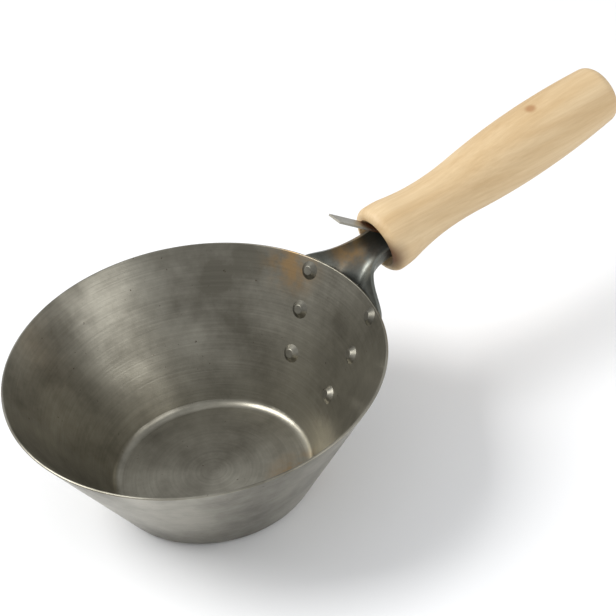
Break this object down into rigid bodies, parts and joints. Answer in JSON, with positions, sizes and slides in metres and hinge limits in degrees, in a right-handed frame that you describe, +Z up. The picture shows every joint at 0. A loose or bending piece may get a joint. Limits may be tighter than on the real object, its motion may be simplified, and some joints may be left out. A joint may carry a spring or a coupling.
{
  "type": "pouring ladle",
  "caption": "Round flared sheet-metal bowl with a riveted pressed bracket whose rolled tang holds a turned wooden grip, for scooping and pouring.",
  "frame": {"origin": "centre of the bowl's flat base, on the surface that the ladle stands on", "axes": "+Z up along the bowl's axis, +X from the bowl towards the grip, +Y to the left when looking along +X"},
  "size_m": [0.3425, 0.1796, 0.1174],
  "materials": {
    "bowl_steel": "satin, worn",
    "bracket_steel": "dull, worn",
    "rivet_steel": "dull, worn",
    "strip_steel": "dull, spotted with rust",
    "grip_wood": "bare, smooth"
  },
  "bodies": {
    "root": {"bowl": "bowl_steel", "bracket": "bracket_steel", "grip": "grip_wood", "wedge_strip": "strip_steel", "rivet_upper_left": "rivet_steel", "rivet_middle_left": "rivet_steel", "rivet_lower_left": "rivet_steel", "rivet_upper_right": "rivet_steel", "rivet_middle_right": "rivet_steel", "rivet_lower_right": "rivet_steel"}
  },
  "joints": []
}
